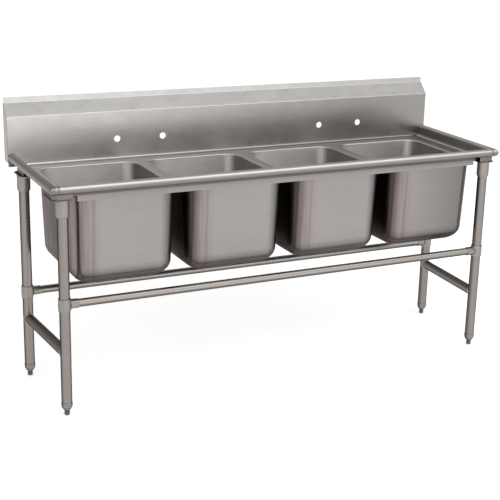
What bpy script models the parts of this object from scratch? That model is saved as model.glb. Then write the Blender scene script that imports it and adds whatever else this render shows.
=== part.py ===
"""Four compartment sink with a backsplash, on four adjustable legs.

Metres, +Z up. The origin is on the floor, under the middle of the sink: +X runs along its
length, +Y points at the wall behind it. Each named object is one piece of the real sink.
"""
import math

import bmesh
import bpy
from mathutils import Matrix, Vector

# ---- driving dimensions ----------------------------------------------------------------
LENGTH = 2.000          # over the rolled rims at both ends
DEPTH = 0.645           # front rim to wall
RIM_Z = 0.914           # top of the rolled rim
DECK_Z = 0.8605         # top of the deck, at the bottom of the shallow pan
SHEET = 0.0015          # stainless sheet, 16 gauge
GAP = 0.0003            # kept between pieces that touch
ROLL_R = 0.017          # rolled rim, outside radius
COVE_R = 0.012          # bend between deck and rim wall

SPLASH_FACE_Y = 0.2720  # front of the backsplash
SPLASH_BEND_Z = 1.0615  # where the slanted band starts
TILE_EDGE = 0.022       # upright lip along the wall
SPLASH_TOP_Z = 1.133
CAP_BOTTOM_Z = 0.876    # lower edge of the end caps

BOWL_PITCH = 0.461
BOWL_HX, BOWL_HY = 0.2085, 0.2385   # half width and half depth of an opening
BOWL_Y = -0.029
BOWL_CORNER_R = 0.060
BOWL_FLOOR_Z = 0.497    # inside, at the edge of the drain recess
BOWL_TAPER = math.radians(1.8)
BOWL_EDGE_R = 0.062     # between wall and floor
BOWL_FLANGE = 0.008     # welded under the deck, around the mouth
BOWL_X = [BOWL_PITCH * k for k in (-1.5, -0.5, 0.5, 1.5)]

CHANNEL_HALF = 0.888    # half length of the stiffener under the front rim
CHANNEL_DROP = 0.0135
CHANNEL_FLANGE = 0.0125

FAUCET_PAIRS_X = (-0.436, 0.528)    # centre of each pair of faucet holes
FAUCET_HALF = 0.1016    # half of the 8 inch spacing
FAUCET_Z = 0.945
FAUCET_HOLE_R = 0.0135

LEG_R = 0.02065         # 1 5/8 inch tube
RAIL_R = 0.015875       # 1 1/4 inch tube
TUBE_WALL = 0.0015
FRONT_LEG = Vector((0.945, -0.285))    # the front pair stands a little closer together
REAR_LEG = Vector((0.972, 0.144))
LEG_BOTTOM_Z = 0.0545
SIDE_RAIL_Z = 0.254
FRONT_RAIL_Z = 0.450
REAR_RAIL_Z = 0.368
SOCKET_R = 0.026
SOCKET_HEIGHT = 0.066
PLATE_T = 0.003
PLATE_BEVEL = 0.016
SKIRT_T = 0.0025        # upturned edge of a socket's plate, welded under the rolled rim
COLLAR_R = 0.0238
COLLAR_HALF = 0.0250
STUB_R = 0.0182
STUB_LENGTH = 0.033
SCREW_R = 0.003
SCREW_SHOW = 0.0012     # a set screw stands out of its sleeve by this much

DRAIN_HOLE_R = 0.046    # in the bowl's floor
DRAIN_FLANGE_R = 0.0570
DRAIN_RECESS = 0.004    # the flange sits below the floor by this much
OUTLET_R = 0.0205
OUTLET_BORE_R = 0.0165
OUTLET_DROP = 0.054     # outlet's end, below the floor
CUP_R = 0.0448          # outside of the cup, through the floor's hole
CUP_BORE_R = 0.0418
CUP_DEPTH = 0.030
GASKET_R, GASKET_T = 0.0555, 0.003
NUT_FLANGE_R, NUT_R = 0.0580, 0.0500
NUT_HEIGHT = 0.012
BASKET_R = 0.0385
BASKET_LIP_R = 0.0440
BASKET_WALL = 0.0010
BASKET_DEPTH = 0.026
BASKET_HOLE_R, BASKET_HOLES_AT = 0.0040, 0.0215
KNOB_R, POST_R = 0.0085, 0.0040

FOOT_R = 0.0108
FOOT_SHOW = 0.024       # length of foot below its insert
FOOT_STEM = 0.034       # length of foot inside its insert
FOOT_ROOM = 0.026       # free bore above the stem

# ---- materials: colour, roughness, metallic ----------------------------------------------
FINISHES = {
    "brushed_sheet": ((0.60, 0.58, 0.56, 1), 0.38, 1.0),
    "bowl_steel": ((0.56, 0.55, 0.53, 1), 0.34, 1.0),
    "tube_steel": ((0.52, 0.49, 0.48, 1), 0.30, 1.0),
    "socket_steel": ((0.42, 0.40, 0.39, 1), 0.42, 1.0),
    "screw_steel": ((0.20, 0.20, 0.21, 1), 0.45, 1.0),
    "drain_steel": ((0.62, 0.61, 0.60, 1), 0.22, 1.0),
    "locknut_zinc": ((0.46, 0.46, 0.47, 1), 0.50, 1.0),
    "gasket_rubber": ((0.03, 0.03, 0.03, 1), 0.80, 0.0),
    "foot_dark": ((0.10, 0.10, 0.10, 1), 0.50, 0.6),
}


# ---- helpers -------------------------------------------------------------------------------
def clear_scene():
    for item in list(bpy.data.objects):
        bpy.data.objects.remove(item, do_unlink=True)


def finish_material(name):
    found = bpy.data.materials.get(name)
    if found:
        return found
    colour, roughness, metallic = FINISHES[name]
    material = bpy.data.materials.new(name)
    material.use_nodes = True
    shader = material.node_tree.nodes["Principled BSDF"]
    shader.inputs["Base Color"].default_value = colour
    shader.inputs["Roughness"].default_value = roughness
    shader.inputs["Metallic"].default_value = metallic
    material.diffuse_color = colour
    return material


def add_object(name, bm, finish, location=(0, 0, 0), smooth=True):
    """Closes the bmesh into a named object with outward normals."""
    bmesh.ops.recalc_face_normals(bm, faces=bm.faces)
    mesh = bpy.data.meshes.new(name)
    bm.to_mesh(mesh)
    bm.free()
    mesh.materials.append(finish_material(finish))
    if smooth:
        mesh.shade_smooth()
        mesh.set_sharp_from_angle(angle=math.radians(40))
    obj = bpy.data.objects.new(name, mesh)
    obj.location = location
    bpy.context.scene.collection.objects.link(obj)
    return obj


def rings_to_bmesh(rings, closed):
    """Skins equal rings of points; closed also joins the last ring to the first."""
    bm = bmesh.new()
    loops = [[bm.verts.new(point) for point in ring] for ring in rings]
    count = len(loops[0])
    pairs = list(zip(loops, loops[1:]))
    if closed:
        pairs.append((loops[-1], loops[0]))
    for low, high in pairs:
        for i in range(count):
            j = (i + 1) % count
            bm.faces.new((low[i], low[j], high[j], high[i]))
    if not closed:
        bm.faces.new(loops[0])
        bm.faces.new(loops[-1])
    return bm


def circle(radius, z, segments):
    step = 2 * math.pi / segments
    return [
        (radius * math.cos(i * step), radius * math.sin(i * step), z) for i in range(segments)
    ]


def turned_ring(profile, segments):
    """A turned piece with a hole through it; profile is a closed list of (radius, z)."""
    return rings_to_bmesh([circle(r, z, segments) for r, z in profile], closed=True)


def turned_solid(profile, segments):
    """A turned piece with flat ends; profile is an open list of (radius, z)."""
    return rings_to_bmesh([circle(r, z, segments) for r, z in profile], closed=False)


def extruded(outline, vector):
    """A prism from a planar outline of 3-D points."""
    shift = Vector(vector)
    far = [tuple(Vector(point) + shift) for point in outline]
    return rings_to_bmesh([outline, far], closed=False)


def tube_between(start, end, radius, wall, segments):
    """A hollow tube with square ends, as a bmesh in world space."""
    start, end = Vector(start), Vector(end)
    length = (end - start).length
    inner = radius - wall
    bm = turned_ring([(radius, 0), (radius, length), (inner, length), (inner, 0)], segments)
    turn = Vector((0, 0, 1)).rotation_difference(end - start).to_matrix().to_4x4()
    bm.transform(Matrix.Translation(start) @ turn)
    return bm


def rod_between(start, end, radius, segments):
    start, end = Vector(start), Vector(end)
    bm = turned_solid([(radius, 0), (radius, (end - start).length)], segments)
    turn = Vector((0, 0, 1)).rotation_difference(end - start).to_matrix().to_4x4()
    bm.transform(Matrix.Translation(start) @ turn)
    return bm


def apply_boolean(obj, tool_bm, operation):
    """Joins a tool body to the object, or cuts it away, and drops the tool."""
    tool = add_object(obj.name + "_tool", tool_bm, obj.data.materials[0].name, smooth=False)
    modifier = obj.modifiers.new("shape", "BOOLEAN")
    modifier.operation = operation
    modifier.solver = "EXACT"
    modifier.object = tool
    bpy.context.view_layer.update()
    graph = bpy.context.evaluated_depsgraph_get()
    shaped = bpy.data.meshes.new_from_object(obj.evaluated_get(graph))
    obj.modifiers.clear()
    obj.data = shaped
    bpy.data.objects.remove(tool, do_unlink=True)
    shaped.shade_smooth()
    shaped.set_sharp_from_angle(angle=math.radians(40))


def rounded_rectangle(hx, hy, radius, z, centre=(0, 0), corner_steps=5):
    """Loop of points around a rectangle with round corners; a circle when hx = hy = radius."""
    points = []
    for quarter, (sx, sy) in enumerate(((1, 1), (-1, 1), (-1, -1), (1, -1))):
        cx, cy = sx * (hx - radius), sy * (hy - radius)
        for step in range(corner_steps + 1):
            angle = (quarter + step / corner_steps) * math.pi / 2
            points.append((
                centre[0] + cx + radius * math.cos(angle),
                centre[1] + cy + radius * math.sin(angle),
                z,
            ))
    return points


# ---- sink top --------------------------------------------------------------------------------
def rim_profile():
    """Closed outline of cove, rim wall and rolled edge, as (outward, height) pairs."""
    roll_z = RIM_Z - DECK_Z - ROLL_R
    cove = [math.radians(a) for a in (-90, -60, -30, 0)]
    curl = [math.radians(180 - 22.5 * k) for k in range(14)]
    inside = [(-COVE_R + COVE_R * math.cos(a), COVE_R + COVE_R * math.sin(a)) for a in cove]
    inside += [(ROLL_R + ROLL_R * math.cos(a), roll_z + ROLL_R * math.sin(a)) for a in curl]
    bore = ROLL_R - SHEET
    outside = [(ROLL_R + bore * math.cos(a), roll_z + bore * math.sin(a)) for a in reversed(curl)]
    bend = COVE_R + SHEET
    outside += [
        (-COVE_R + bend * math.cos(a), COVE_R + bend * math.sin(a)) for a in reversed(cove)
    ]
    return inside + outside


def make_sink_top():
    wall_x = LENGTH / 2 - 2 * ROLL_R
    wall_y = -DEPTH / 2 + 2 * ROLL_R
    rear_y = SPLASH_FACE_Y - GAP
    profile = rim_profile()
    stations = []
    for side in (-1, 1):
        corner = [(side * (wall_x + u), wall_y - u, DECK_Z + h) for u, h in profile]
        end = [(side * (wall_x + u), rear_y, DECK_Z + h) for u, h in profile]
        stations += [end, corner] if side < 0 else [corner, end]
    bm = bmesh.new()
    loops = [[bm.verts.new(point) for point in ring] for ring in stations]
    last = len(profile) - 1
    for near, far in zip(loops, loops[1:]):
        for i in range(last):
            bm.faces.new((near[i], near[i + 1], far[i + 1], far[i]))
    bm.faces.new([loop[0] for loop in loops])
    bm.faces.new([loop[last] for loop in loops])
    bm.faces.new(loops[0] + list(reversed(loops[3])))
    top = add_object("sink_top", bm, "brushed_sheet")
    for x in BOWL_X:
        low = rounded_rectangle(BOWL_HX, BOWL_HY, BOWL_CORNER_R, DECK_Z - 0.02, (x, BOWL_Y))
        apply_boolean(top, extruded(low, (0, 0, 0.04)), "DIFFERENCE")


def make_front_channel():
    """Stiffener whose face closes the bend under the rim, with a flange under the deck."""
    face_y = -DEPTH / 2 + 2 * ROLL_R - SHEET
    top_z = DECK_Z - SHEET - GAP
    inner_y = face_y + CHANNEL_FLANGE
    low_z = top_z - CHANNEL_DROP
    bend_z = DECK_Z + COVE_R
    section = [
        (face_y, low_z), (face_y, bend_z - 0.0022), (face_y + SHEET, bend_z - 0.0072),
        (face_y + SHEET, top_z), (inner_y, top_z), (inner_y, top_z - SHEET),
        (face_y + SHEET, top_z - SHEET), (face_y + SHEET, low_z),
    ]
    outline = [(-CHANNEL_HALF, y, z) for y, z in section]
    add_object("front_channel", extruded(outline, (2 * CHANNEL_HALF, 0, 0)), "brushed_sheet")


# ---- backsplash ------------------------------------------------------------------------------
def make_backsplash():
    wall_y = DEPTH / 2
    slant_top_z = SPLASH_TOP_Z - TILE_EDGE
    run = SHEET * math.tan(math.radians(22.5))
    bottom_z = DECK_Z - SHEET
    front = [
        (SPLASH_FACE_Y, bottom_z), (SPLASH_FACE_Y, SPLASH_BEND_Z),
        (wall_y - SHEET, slant_top_z), (wall_y - SHEET, SPLASH_TOP_Z),
    ]
    back = [
        (wall_y, SPLASH_TOP_Z), (wall_y, slant_top_z - run),
        (SPLASH_FACE_Y + SHEET, SPLASH_BEND_Z - run), (SPLASH_FACE_Y + SHEET, bottom_z),
    ]
    half = LENGTH / 2 - SHEET - GAP
    outline = [(-half, y, z) for y, z in front + back]
    splash = add_object("backsplash", extruded(outline, (2 * half, 0, 0)), "brushed_sheet")
    for pair in FAUCET_PAIRS_X:
        for side in (-FAUCET_HALF, FAUCET_HALF):
            x = pair + side
            drill = rod_between(
                (x, SPLASH_FACE_Y - 0.01, FAUCET_Z), (x, SPLASH_FACE_Y + 0.01, FAUCET_Z),
                FAUCET_HOLE_R, 16,
            )
            apply_boolean(splash, drill, "DIFFERENCE")


def make_end_caps():
    wall_y = DEPTH / 2
    slant_top_z = SPLASH_TOP_Z - TILE_EDGE
    section = [
        (SPLASH_FACE_Y, CAP_BOTTOM_Z), (SPLASH_FACE_Y, SPLASH_BEND_Z),
        (wall_y, slant_top_z + SHEET), (wall_y, CAP_BOTTOM_Z),
    ]
    for side, label in ((-1, "left"), (1, "right")):
        inner_x = side * (LENGTH / 2 - SHEET)
        outline = [(inner_x, y, z) for y, z in section]
        body = extruded(outline, (side * SHEET, 0, 0))
        add_object("splash_end_cap_" + label, body, "brushed_sheet", smooth=False)


# ---- bowls -----------------------------------------------------------------------------------
def bowl_profile():
    """Inside of a bowl from its mouth to its floor, as (inset, z, slope angle)."""
    top_z = DECK_Z - SHEET - GAP
    floor_z = BOWL_FLOOR_Z + 0.003
    wall_drop = top_z - floor_z - BOWL_EDGE_R * (1 - math.sin(BOWL_TAPER))
    wall_inset = wall_drop * math.tan(BOWL_TAPER)
    points = [(0, top_z, BOWL_TAPER), (wall_inset / 2, top_z - wall_drop / 2, BOWL_TAPER)]
    for step in range(6):
        angle = BOWL_TAPER + (math.pi / 2 - BOWL_TAPER) * step / 5
        points.append((
            wall_inset + BOWL_EDGE_R * (math.cos(BOWL_TAPER) - math.cos(angle)),
            top_z - wall_drop - BOWL_EDGE_R * (math.sin(angle) - math.sin(BOWL_TAPER)),
            angle,
        ))
    return points


def bowl_ring(inset, z):
    radius = BOWL_CORNER_R - 0.42 * inset
    return rounded_rectangle(BOWL_HX - inset, BOWL_HY - inset, radius, z)


def bowl_mesh():
    """A drawn shell of one sheet's thickness, with a flange at the mouth and a drain recess."""
    inner = bowl_profile()
    low_z = BOWL_FLOOR_Z - DRAIN_RECESS
    drain_rows = [
        (DRAIN_FLANGE_R + 0.005, BOWL_FLOOR_Z), (DRAIN_FLANGE_R + 0.001, low_z),
        (DRAIN_HOLE_R, low_z), (DRAIN_HOLE_R, low_z - SHEET),
        (DRAIN_FLANGE_R + 0.002, low_z - SHEET), (DRAIN_FLANGE_R + 0.006, BOWL_FLOOR_Z - SHEET),
    ]
    rings = [bowl_ring(inset, z) for inset, z, _ in inner]
    rings += [rounded_rectangle(r, r, r, z) for r, z in drain_rows]
    for inset, z, angle in reversed(inner[1:]):
        rings.append(bowl_ring(inset - SHEET * math.cos(angle), z - SHEET * math.sin(angle)))
    mouth_z = inner[0][1]
    rings += [
        bowl_ring(-SHEET, mouth_z - SHEET), bowl_ring(-BOWL_FLANGE, mouth_z - SHEET),
        bowl_ring(-BOWL_FLANGE, mouth_z),
    ]
    return rings_to_bmesh(rings, closed=True)


def make_bowls():
    for number, x in enumerate(BOWL_X, start=1):
        add_object("bowl_%d" % number, bowl_mesh(), "bowl_steel", (x, BOWL_Y, 0))


# ---- drains ----------------------------------------------------------------------------------
def drain_levels():
    """Heights of the flange's underside, its top, and the ledge that holds the basket."""
    under = BOWL_FLOOR_Z - DRAIN_RECESS + GAP
    return under, under + 0.0022, under + 0.0008


def make_drains():
    under_z, top_z, ledge_z = drain_levels()
    funnel_z = under_z - CUP_DEPTH
    outlet_z = BOWL_FLOOR_Z - OUTLET_DROP
    body = [
        (DRAIN_FLANGE_R, under_z), (DRAIN_FLANGE_R, top_z - 0.0008),
        (DRAIN_FLANGE_R - 0.0012, top_z), (BASKET_LIP_R + 0.0006, top_z),
        (BASKET_LIP_R + 0.0004, ledge_z), (CUP_BORE_R, ledge_z), (CUP_BORE_R, funnel_z),
        (OUTLET_BORE_R, funnel_z - 0.004), (OUTLET_BORE_R, outlet_z), (OUTLET_R, outlet_z),
        (OUTLET_R, funnel_z - 0.007), (CUP_R, funnel_z - 0.002), (CUP_R, under_z),
    ]
    ring_r = CUP_R + 2 * GAP
    seal_top = BOWL_FLOOR_Z - DRAIN_RECESS - SHEET - GAP
    seal_z = seal_top - GASKET_T
    gasket = [(GASKET_R, seal_top), (GASKET_R, seal_z), (ring_r, seal_z), (ring_r, seal_top)]
    nut_z = seal_z - GAP
    nut_low = nut_z - NUT_HEIGHT
    nut = [
        (NUT_FLANGE_R, nut_z), (NUT_FLANGE_R, nut_z - 0.004), (NUT_R, nut_z - 0.005),
        (NUT_R, nut_low), (ring_r, nut_low), (ring_r, nut_z),
    ]
    for number, x in enumerate(BOWL_X, start=1):
        place = (x, BOWL_Y, 0)
        add_object("drain_body_%d" % number, turned_ring(body, 20), "drain_steel", place)
        add_object("drain_gasket_%d" % number, turned_ring(gasket, 20), "gasket_rubber", place)
        add_object("drain_locknut_%d" % number, turned_ring(nut, 20), "locknut_zinc", place)
        bpy.context.view_layer.update()
        for quarter in range(4):
            add_locknut_lug(number, x, nut_low, quarter * math.pi / 2 + math.pi / 20)


def add_locknut_lug(number, x, low_z, angle):
    """One of the lugs that a spanner pushes on, joined to its locknut."""
    root, tip = NUT_R - 0.002, NUT_R + 0.007
    block = [(root, -0.005), (tip, -0.004), (tip, 0.004), (root, 0.005)]
    outline = [
        (x + u * math.cos(angle) - v * math.sin(angle),
         BOWL_Y + u * math.sin(angle) + v * math.cos(angle), low_z + 0.0002)
        for u, v in block
    ]
    locknut = bpy.data.objects["drain_locknut_%d" % number]
    apply_boolean(locknut, extruded(outline, (0, 0, NUT_HEIGHT - 0.002)), "UNION")


def make_baskets():
    """Perforated cup with a lip that rests on the drain's ledge and a pull knob on a post."""
    rest_z = drain_levels()[2] + GAP
    floor_z = rest_z - BASKET_DEPTH
    knob_z = floor_z + 0.0200
    wall = BASKET_WALL
    profile = [
        (POST_R, floor_z), (BASKET_R, floor_z), (BASKET_R, rest_z), (BASKET_LIP_R, rest_z),
        (BASKET_LIP_R, rest_z + wall), (BASKET_R - wall, rest_z + wall),
        (BASKET_R - wall, floor_z + wall), (POST_R, floor_z + wall), (POST_R, knob_z),
        (KNOB_R, knob_z + 0.0020), (KNOB_R, knob_z + 0.0055), (KNOB_R - 0.003, knob_z + 0.0075),
    ]
    for number, x in enumerate(BOWL_X, start=1):
        name = "strainer_basket_%d" % number
        basket = add_object(name, turned_solid(profile, 20), "drain_steel", (x, BOWL_Y, 0))
        bpy.context.view_layer.update()
        for hole in range(6):
            angle = hole * math.pi / 3 + math.pi / 16
            hx = x + BASKET_HOLES_AT * math.cos(angle)
            hy = BOWL_Y + BASKET_HOLES_AT * math.sin(angle)
            low, high = (hx, hy, floor_z - 0.01), (hx, hy, floor_z + 0.01)
            apply_boolean(basket, rod_between(low, high, BASKET_HOLE_R, 6), "DIFFERENCE")


# ---- legs and rails ----------------------------------------------------------------------------
def leg_positions():
    """Leg name and place, for the four corners."""
    for row, place in (("front", FRONT_LEG), ("rear", REAR_LEG)):
        for side, label in ((-1, "left"), (1, "right")):
            yield "%s_%s" % (row, label), side, side * place.x, place.y


def inward_screw(name, x, y, z, radius, side):
    """A headless set screw that points at the leg's axis from the sink's outer side."""
    start = (x + side * (radius + SCREW_SHOW), y, z)
    end = (x + side * (LEG_R + GAP), y, z)
    add_object(name, rod_between(start, end, SCREW_R, 8), "screw_steel")


def screw_hole(x, y, z, side):
    start = (x + side * 0.010, y, z)
    return rod_between(start, (x + side * 0.040, y, z), SCREW_R + GAP, 8)


def skirt_outline(front, inner_x, side, low_y, high_y):
    """Strip along a plate's outer edge, right under the rolled rim; it turns the front corner."""
    outer_x = side * (LENGTH / 2 - ROLL_R + 0.002)
    thin_x = outer_x - side * SKIRT_T
    if not front:
        return [(outer_x, low_y), (outer_x, high_y), (thin_x, high_y), (thin_x, low_y)]
    face_y = -DEPTH / 2 + ROLL_R - 0.002
    turn_x, turn_y = outer_x - side * PLATE_BEVEL, face_y + PLATE_BEVEL
    ease = SKIRT_T * math.tan(math.radians(22.5))
    return [
        (inner_x, face_y), (turn_x, face_y), (outer_x, turn_y), (outer_x, high_y),
        (thin_x, high_y), (thin_x, turn_y + ease), (turn_x - side * ease, face_y + SKIRT_T),
        (inner_x, face_y + SKIRT_T),
    ]


def make_leg_sockets():
    plate_top = DECK_Z - SHEET - GAP
    plate_bottom = plate_top - PLATE_T
    roll_bottom = RIM_Z - 2 * ROLL_R
    for name, side, x, y in leg_positions():
        front = name.startswith("front")
        inner_x = side * (BOWL_X[3] + BOWL_HX + BOWL_FLANGE + 0.002)
        outer_x = side * (LENGTH / 2 - 0.012) if front else x + side * (SOCKET_R + 0.0005)
        low_y = y - (SOCKET_R + 0.002 if front else 0.060)
        high_y = y + (0.115 if front else 0.060)
        bevel_x = outer_x - side * PLATE_BEVEL
        outline = [
            (inner_x, low_y, plate_bottom), (bevel_x, low_y, plate_bottom),
            (outer_x, low_y + PLATE_BEVEL, plate_bottom),
            (outer_x, high_y - PLATE_BEVEL, plate_bottom),
            (bevel_x, high_y, plate_bottom), (inner_x, high_y, plate_bottom),
        ]
        socket = add_object("leg_socket_" + name, extruded(outline, (0, 0, PLATE_T)), "socket_steel")
        strip = skirt_outline(front, inner_x, side, low_y + PLATE_BEVEL, high_y - PLATE_BEVEL)
        skirt_z = plate_top - 0.001
        skirt = extruded([(u, v, skirt_z) for u, v in strip], (0, 0, roll_bottom - GAP - skirt_z))
        apply_boolean(socket, skirt, "UNION")
        low_z = plate_bottom - SOCKET_HEIGHT
        bore = LEG_R + GAP
        sleeve = turned_ring([
            (bore, low_z), (SOCKET_R - 0.003, low_z), (SOCKET_R, low_z + 0.010),
            (SOCKET_R, plate_bottom + 0.001), (bore, plate_bottom + 0.001),
        ], 16)
        sleeve.transform(Matrix.Translation((x, y, 0)))
        apply_boolean(socket, sleeve, "UNION")
        screw_z = low_z + 0.026
        apply_boolean(socket, screw_hole(x, y, screw_z, side), "DIFFERENCE")
        inward_screw("socket_screw_" + name, x, y, screw_z, SOCKET_R, side)


def make_legs():
    top_z = DECK_Z - SHEET - 2 * GAP - PLATE_T
    for name, _, x, y in leg_positions():
        body = tube_between((x, y, LEG_BOTTOM_Z), (x, y, top_z), LEG_R, TUBE_WALL, 16)
        add_object("leg_" + name, body, "tube_steel")


def make_side_rails():
    for side, label in ((-1, "left"), (1, "right")):
        front = Vector((side * FRONT_LEG.x, FRONT_LEG.y, SIDE_RAIL_Z))
        rear = Vector((side * REAR_LEG.x, REAR_LEG.y, SIDE_RAIL_Z))
        along = (rear - front).normalized()
        body = tube_between(front + along * 0.012, rear - along * 0.012, LEG_R - GAP, TUBE_WALL, 16)
        rail = add_object("side_rail_" + label, body, "tube_steel")
        for end in (front, rear):
            drop = Vector((0, 0, 0.05))
            apply_boolean(rail, rod_between(end - drop, end + drop, LEG_R + 2 * GAP, 16), "DIFFERENCE")


def make_long_rails():
    reach = LEG_R + 0.006
    for row, place, z in (("front", FRONT_LEG, FRONT_RAIL_Z), ("rear", REAR_LEG, REAR_RAIL_Z)):
        half = place.x - reach
        body = tube_between((-half, place.y, z), (half, place.y, z), RAIL_R, TUBE_WALL, 16)
        add_object(row + "_rail", body, "tube_steel")


def make_rail_fittings():
    for name, side, x, y in leg_positions():
        z = FRONT_RAIL_Z if name.startswith("front") else REAR_RAIL_Z
        collar = turned_solid([
            (COLLAR_R - 0.0015, -COLLAR_HALF), (COLLAR_R, 0.0015 - COLLAR_HALF),
            (COLLAR_R, COLLAR_HALF - 0.0015), (COLLAR_R - 0.0015, COLLAR_HALF),
        ], 16)
        collar.transform(Matrix.Translation((x, y, z)))
        fitting = add_object("rail_fitting_" + name, collar, "socket_steel")
        stub_end = (x - side * (LEG_R + STUB_LENGTH), y, z)
        apply_boolean(fitting, rod_between((x, y, z), stub_end, STUB_R, 16), "UNION")
        low, high = (x, y, z - 0.05), (x, y, z + 0.05)
        apply_boolean(fitting, rod_between(low, high, LEG_R + GAP, 16), "DIFFERENCE")
        bore_end = (x - side * 0.09, y, z)
        apply_boolean(fitting, rod_between((x, y, z), bore_end, RAIL_R + GAP, 16), "DIFFERENCE")
        apply_boolean(fitting, screw_hole(x, y, z, side), "DIFFERENCE")
        inward_screw("fitting_screw_" + name, x, y, z, COLLAR_R, side)


# ---- feet --------------------------------------------------------------------------------------
def make_feet():
    """Each foot screws into a bullet shaped insert in the end of its leg."""
    plug_r = LEG_R - TUBE_WALL - GAP
    bore_r = FOOT_R + GAP
    show = FOOT_SHOW
    shell_top = LEG_BOTTOM_Z - GAP
    ceiling = show + FOOT_STEM + FOOT_ROOM
    insert = [
        (bore_r, show), (0.0150, show), (0.0190, show + 0.006), (LEG_R + 0.0008, show + 0.016),
        (LEG_R + 0.0008, shell_top - 0.001), (LEG_R, shell_top), (plug_r, shell_top),
        (plug_r, ceiling), (bore_r, ceiling),
    ]
    foot = [
        (0.0085, 0.0), (0.0100, 0.0025), (FOOT_R, 0.008), (FOOT_R, show + FOOT_STEM),
    ]
    for name, _, x, y in leg_positions():
        add_object("foot_insert_" + name, turned_ring(insert, 16), "tube_steel", (x, y, 0))
        add_object("foot_" + name, turned_solid(foot, 16), "foot_dark", (x, y, 0))


clear_scene()
make_sink_top()
make_front_channel()
make_backsplash()
make_end_caps()
make_bowls()
make_drains()
make_baskets()
make_leg_sockets()
make_legs()
make_side_rails()
make_long_rails()
make_rail_fittings()
make_feet()
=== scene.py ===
"""Looks of the four compartment sink: fine sheet metal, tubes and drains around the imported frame.

Metres, +Z up: +X runs along the sink's length, +Y points at the wall behind it.
"""
import math

import bmesh
import bpy
from mathutils import Matrix, Vector


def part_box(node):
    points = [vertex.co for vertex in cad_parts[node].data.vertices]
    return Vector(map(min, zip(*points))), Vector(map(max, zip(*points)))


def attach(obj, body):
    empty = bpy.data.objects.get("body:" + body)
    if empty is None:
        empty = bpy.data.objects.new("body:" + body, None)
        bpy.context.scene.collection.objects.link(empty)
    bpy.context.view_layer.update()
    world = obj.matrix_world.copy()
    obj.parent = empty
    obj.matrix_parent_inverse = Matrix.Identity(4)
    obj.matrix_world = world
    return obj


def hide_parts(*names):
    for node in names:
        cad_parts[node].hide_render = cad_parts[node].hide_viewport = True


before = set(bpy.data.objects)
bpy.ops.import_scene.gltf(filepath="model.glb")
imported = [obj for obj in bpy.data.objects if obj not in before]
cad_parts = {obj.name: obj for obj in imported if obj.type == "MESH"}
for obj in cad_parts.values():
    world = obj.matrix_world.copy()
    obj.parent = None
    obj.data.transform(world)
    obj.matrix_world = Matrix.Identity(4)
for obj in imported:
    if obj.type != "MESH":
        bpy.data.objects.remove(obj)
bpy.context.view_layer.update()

# ---- sizes read from the frame -------------------------------------------------------------
TOP_LOW, TOP_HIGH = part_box("sink_top")
SPLASH_LOW, SPLASH_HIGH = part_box("backsplash")
CHANNEL_LOW, CHANNEL_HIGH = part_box("front_channel")
SHEET = 0.0015                       # stainless sheet
GAP = 0.0003                         # between pieces that touch
DECK_Z = TOP_LOW.z + SHEET
RIM_Z = TOP_HIGH.z
UNDER_DECK_Z = DECK_Z - SHEET - GAP
PLATE_T = 0.003
PLATE_Z = UNDER_DECK_Z - PLATE_T     # underside of the leg sockets' plates
PLATE_BEVEL = 0.016
SPLASH_FACE_Y = SPLASH_LOW.y
WALL_Y = SPLASH_HIGH.y

# ---- sizes of the formed sheet -------------------------------------------------------------
ROLL_R = 0.017
COVE_R = 0.012
LIP_R = 0.0055                       # the deck bends down into each bowl
LIP_END_Z = DECK_Z - LIP_R - 0.001
SPLASH_COVE_R = 0.009
MITRE_R = 0.004                      # corner radius of the pan, at the deck
RIM_WALL_X = TOP_HIGH.x - 2 * ROLL_R
RIM_WALL_Y = TOP_LOW.y + 2 * ROLL_R
SPLASH_BEND_Z = 1.0615
TILE_EDGE = 0.022                    # height of the upright strip along the top
SLANT_TOP_Z = SPLASH_HIGH.z - TILE_EDGE
BEND_R = 0.003

BOWL_NUMBERS = (1, 2, 3, 4)
BOWL_FLANGE = 0.008
BOWL_PITCH = 0.461
BOWL_CORNER_R = 0.060
BOWL_FLOOR_Z = 0.497
BOWL_TAPER = math.radians(1.8)
BOWL_EDGE_R = 0.062
CORNER_SHRINK = 0.42                 # how fast the corner radius falls with the taper

FAUCET_PAIRS_X = (-0.436, 0.528)
FAUCET_HALF = 0.1016
FAUCET_Z = 0.945
FAUCET_HOLE_R = 0.0135

LEG_NAMES = ("front_left", "front_right", "rear_left", "rear_right")
LEG_R = 0.02065
RAIL_R = 0.015875
SOCKET_R = 0.026
COLLAR_R = 0.0238
STUB_R = 0.0182
STUB_LENGTH = 0.033
SCREW_R = 0.003
FOOT_R = 0.0108

DRAIN_HOLE_R = 0.046
DRAIN_FLANGE_R = 0.057
DRAIN_RECESS = 0.004
OUTLET_R = 0.0205
OUTLET_BORE_R = 0.0165
CUP_BORE_R = 0.0418
BASKET_R = 0.0385
BASKET_LIP_R = 0.044
THREAD_PITCH = 0.002

TURN = 2 * math.pi
TUBE_STEPS = 48
CORNER_STEPS = 14                    # in each corner of a bowl
SMOOTH_ANGLE = math.radians(35)      # sharper folds are shaded as edges
EASED_ANGLE = math.radians(60)       # sharper folds are bevelled


# ---- mesh helpers --------------------------------------------------------------------------
def skin(rings, closed=False):
    """Faces between equal rings of points; closed joins the last ring to the first."""
    bm = bmesh.new()
    rows = [[bm.verts.new(point) for point in ring] for ring in rings]
    pairs = list(zip(rows, rows[1:]))
    if closed:
        pairs.append((rows[-1], rows[0]))
    count = len(rows[0])
    for low, high in pairs:
        for i in range(count):
            j = (i + 1) % count
            bm.faces.new((low[i], low[j], high[j], high[i]))
    if not closed:
        bm.faces.new(rows[0])
        bm.faces.new(rows[-1])
    return bm


def circle(radius, z, steps=TUBE_STEPS):
    return [(radius * math.cos(TURN * i / steps), radius * math.sin(TURN * i / steps), z)
            for i in range(steps)]


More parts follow.
